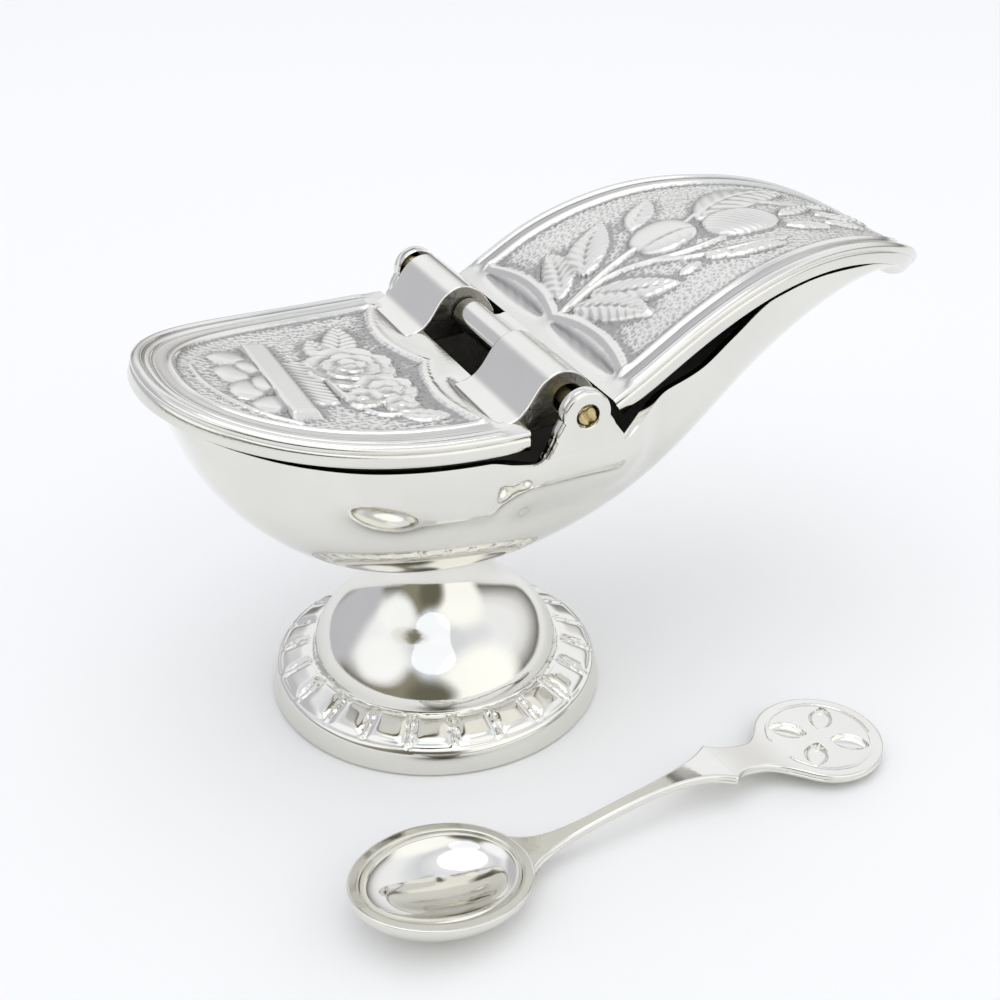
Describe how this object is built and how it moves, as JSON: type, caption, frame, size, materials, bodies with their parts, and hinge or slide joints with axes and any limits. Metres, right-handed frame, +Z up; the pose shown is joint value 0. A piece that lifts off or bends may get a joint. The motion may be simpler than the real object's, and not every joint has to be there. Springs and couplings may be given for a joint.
{
  "type": "incense boat with spoon",
  "caption": "Footed incense boat with an upswept lobed tail, hinged lids meeting at a cross pin, and a loose spoon with a round flat finial.",
  "frame": {"origin": "centre of the foot's underside, on the table plane", "axes": "+X along the boat from the low lid towards the swept-up tail, +Y across the boat, +Z up"},
  "size_m": [0.1662, 0.1195, 0.0931],
  "materials": {
    "plate_bowl": "polished nickel plate",
    "plate_foot": "polished nickel plate",
    "plate_lid": "bright cast nickel plate",
    "plate_spoon": "polished nickel plate",
    "brass_pin": "rough brass",
    "steel_screw": "plain steel"
  },
  "bodies": {
    "boat": {"bowl": "plate_bowl", "foot": "plate_foot", "foot_screw": "steel_screw", "foot_washer": "steel_screw", "hinge_pin": "brass_pin"},
    "low_lid": {"front_lid": "plate_lid"},
    "tail_lid": {"rear_lid": "plate_lid"},
    "loose_spoon": {"spoon": "plate_spoon"}
  },
  "joints": [
    {"name": "front_lid_hinge", "type": "hinge", "parent": "boat", "child": "low_lid", "pos_m": [0.0135, 0, 0.077], "axis": [0, 1, 0], "range_deg": [0, 85]},
    {"name": "rear_lid_hinge", "type": "hinge", "parent": "boat", "child": "tail_lid", "pos_m": [0.0135, 0, 0.077], "axis": [0, -1, 0], "range_deg": [0, 60]},
    {"name": "spoon_lift", "type": "slide", "parent": "boat", "child": "loose_spoon", "axis": [0, 0, 1], "range_m": [0, 0.06]}
  ]
}
